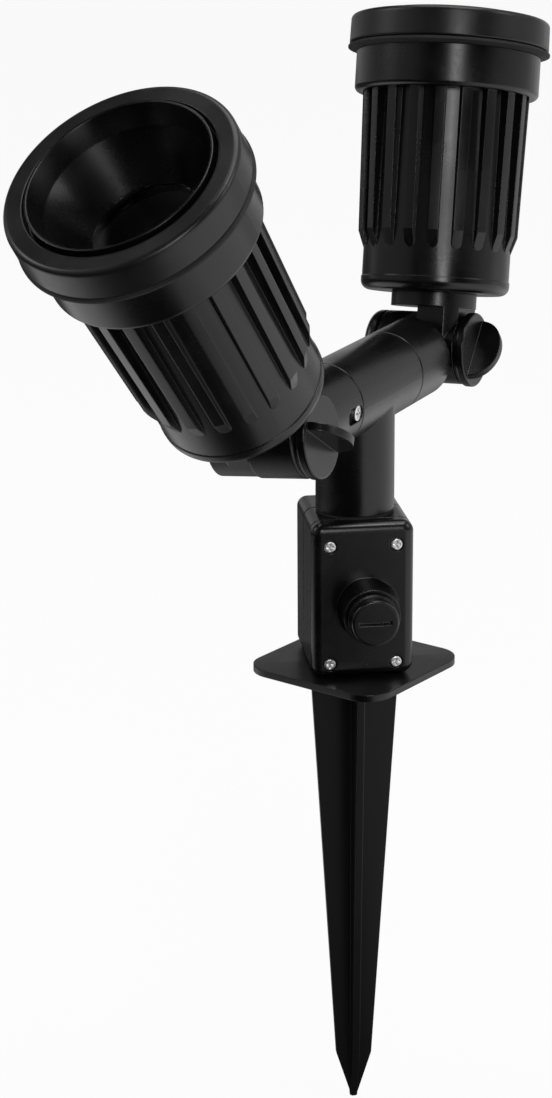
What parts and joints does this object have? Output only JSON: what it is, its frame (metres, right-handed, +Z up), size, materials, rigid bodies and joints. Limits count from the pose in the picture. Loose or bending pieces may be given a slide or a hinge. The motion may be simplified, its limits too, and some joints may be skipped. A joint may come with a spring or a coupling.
{
  "type": "garden spike light",
  "caption": "Twin-head garden spike spotlight: ribbed adjustable lamp heads on a swivel tee above a junction box, diamond flange and cruciform ground spike.",
  "frame": {"origin": "middle of the flange underside, where the spike enters the soil", "axes": "+Z up along the post, -Y out of the box lid, +X to the right seen from the lid"},
  "size_m": [0.2201, 0.2878, 0.4246],
  "materials": {
    "black_plastic": "satin moulded black",
    "black_rubbery_plastic": "fine matte black",
    "black_rubber": "matte",
    "bright_steel": "bright zinc plated",
    "brass": "plain",
    "pale_plastic": "plain",
    "ceramic": "glazed ceramic",
    "lamp_shell": "dark lamp body",
    "clear_glass": "clear"
  },
  "bodies": {
    "base": {"ground_spike": "black_plastic", "box_body": "black_plastic", "lid_gasket": "black_rubber", "box_lid": "black_plastic", "lid_screws": "bright_steel", "entry_plug": "black_plastic", "entry_seal": "black_rubber", "terminal_block": "pale_plastic", "terminal_clamps": "brass", "terminal_screws": "brass", "base_screws": "bright_steel", "post_seal": "black_rubber", "post_nut": "black_plastic", "tee_post": "black_plastic", "elbow_seal_front": "black_rubber", "elbow_seal_rear": "black_rubber"},
    "elbow_front": {"elbow_front": "black_plastic", "stop_screw_front": "bright_steel", "hinge_washer_front": "black_rubber"},
    "head_front": {"neck_front": "black_plastic", "neck_nut_front": "black_plastic", "hinge_nut_front": "bright_steel", "lamp_housing_front": "black_plastic", "lamp_holder_front": "ceramic", "holder_screws_front": "bright_steel", "lamp_front": "lamp_shell", "lens_seal_front": "black_rubber", "lens_front": "clear_glass", "bezel_seal_front": "black_rubber"},
    "knob_front": {"hinge_knob_front": "black_plastic", "hinge_bolt_front": "bright_steel"},
    "bezel_front": {"bezel_front": "black_rubbery_plastic", "glare_cone_front": "black_plastic"},
    "elbow_rear": {"elbow_rear": "black_plastic", "stop_screw_rear": "bright_steel", "hinge_nut_rear": "bright_steel", "hinge_cap_rear": "black_plastic"},
    "head_rear": {"neck_rear": "black_plastic", "neck_nut_rear": "black_plastic", "hinge_washer_rear": "black_rubber", "lamp_housing_rear": "black_plastic", "lamp_holder_rear": "ceramic", "holder_screws_rear": "bright_steel", "lamp_rear": "lamp_shell", "lens_seal_rear": "black_rubber", "lens_rear": "clear_glass", "bezel_seal_rear": "black_rubber"},
    "knob_rear": {"hinge_knob_rear": "black_plastic", "hinge_bolt_rear": "bright_steel"},
    "bezel_rear": {"bezel_rear": "black_rubbery_plastic", "glare_cone_rear": "black_plastic"}
  },
  "joints": [
    {"name": "swivel_front", "type": "hinge", "parent": "base", "child": "elbow_front", "pos_m": [0, 0, 0.1083], "axis": [-0.5446, -0.8387, 0], "range_deg": [-85, 85]},
    {"name": "tilt_front", "type": "hinge", "parent": "elbow_front", "child": "head_front", "pos_m": [-0.04085, -0.0629, 0.1083], "axis": [0.8345, -0.5419, 0.0993], "range_deg": [-42, 80]},
    {"name": "knob_turn_front", "type": "hinge", "parent": "elbow_front", "child": "knob_front", "pos_m": [-0.04085, -0.0629, 0.1083], "axis": [0.8345, -0.5419, 0.0993], "range_deg": [0, 360]},
    {"name": "bezel_turn_front", "type": "hinge", "parent": "head_front", "child": "bezel_front", "pos_m": [-0.04085, -0.0629, 0.1083], "axis": [-0.4068, -0.4846, 0.7744], "range_deg": [0, 60]},
    {"name": "swivel_rear", "type": "hinge", "parent": "base", "child": "elbow_rear", "pos_m": [0, 0, 0.1083], "axis": [0.5446, 0.8387, 0], "range_deg": [-85, 85]},
    {"name": "tilt_rear", "type": "hinge", "parent": "elbow_rear", "child": "head_rear", "pos_m": [0.04085, 0.0629, 0.1083], "axis": [0.8379, -0.5442, 0.0419], "range_deg": [-107, 15]},
    {"name": "knob_turn_rear", "type": "hinge", "parent": "elbow_rear", "child": "knob_rear", "pos_m": [0.04085, 0.0629, 0.1083], "axis": [0.8379, -0.5442, 0.0419], "range_deg": [0, 360]},
    {"name": "bezel_turn_rear", "type": "hinge", "parent": "head_rear", "child": "bezel_rear", "pos_m": [0.04085, 0.0629, 0.1083], "axis": [0.0939, 0.2194, 0.9711], "range_deg": [0, 60]}
  ]
}
